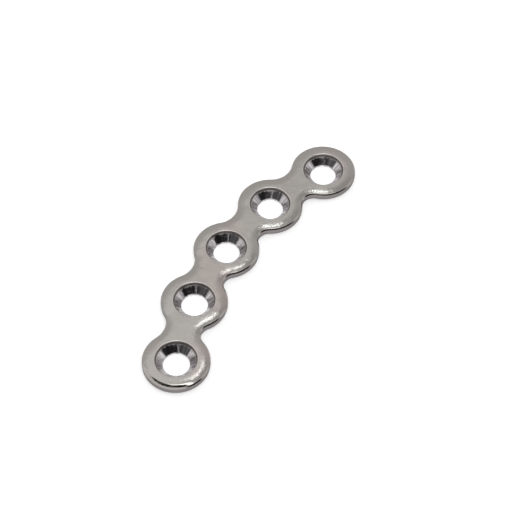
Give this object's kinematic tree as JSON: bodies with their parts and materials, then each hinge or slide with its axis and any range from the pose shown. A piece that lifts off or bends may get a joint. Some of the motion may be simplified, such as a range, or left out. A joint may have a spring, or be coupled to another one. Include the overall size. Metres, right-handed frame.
{
  "type": "orthopedic bone plate",
  "caption": "Flat curved bone plate of satin steel, with round lobes joined by scalloped waists and a countersunk screw hole in each lobe.",
  "frame": {"origin": "on the middle screw hole's axis, at the flat underside", "axes": "+X along the plate's length, +Y towards the outside of its curve, +Z out of the side that the screws enter"},
  "size_m": [0.0414, 0.0118, 0.0014],
  "materials": {
    "surgical_steel": "satin, tumble-polished"
  },
  "bodies": {
    "root": {"bone_plate": "surgical_steel"}
  },
  "joints": []
}
